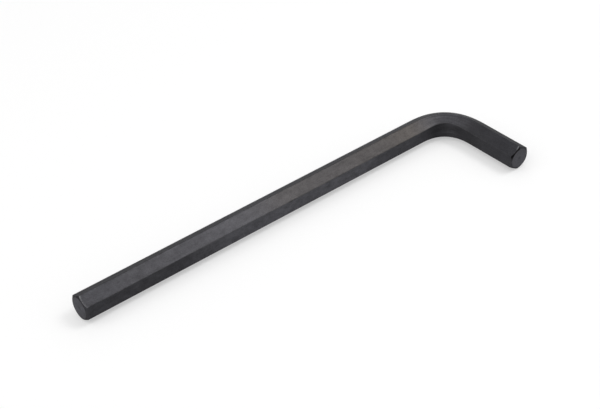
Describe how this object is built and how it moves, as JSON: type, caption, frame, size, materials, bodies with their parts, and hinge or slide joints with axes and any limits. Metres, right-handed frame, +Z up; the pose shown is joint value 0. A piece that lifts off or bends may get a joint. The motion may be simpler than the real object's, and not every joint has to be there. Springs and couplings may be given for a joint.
{
  "type": "hex key",
  "caption": "L-shaped hex key, bent from one blackened hexagonal steel bar, with a long arm, a short arm and chamfered tips.",
  "frame": {"origin": "centre of the key's outline seen from above, at the surface that the key lies on", "axes": "+X runs along the long arm from its tip towards the bend, the short arm points along -Y at the +X end, and +Z is up from the surface that the key lies on"},
  "size_m": [0.158, 0.0388, 0.0091],
  "materials": {
    "blackened_steel": "black oxide, satin"
  },
  "bodies": {
    "root": {"hex_key": "blackened_steel"}
  },
  "joints": []
}
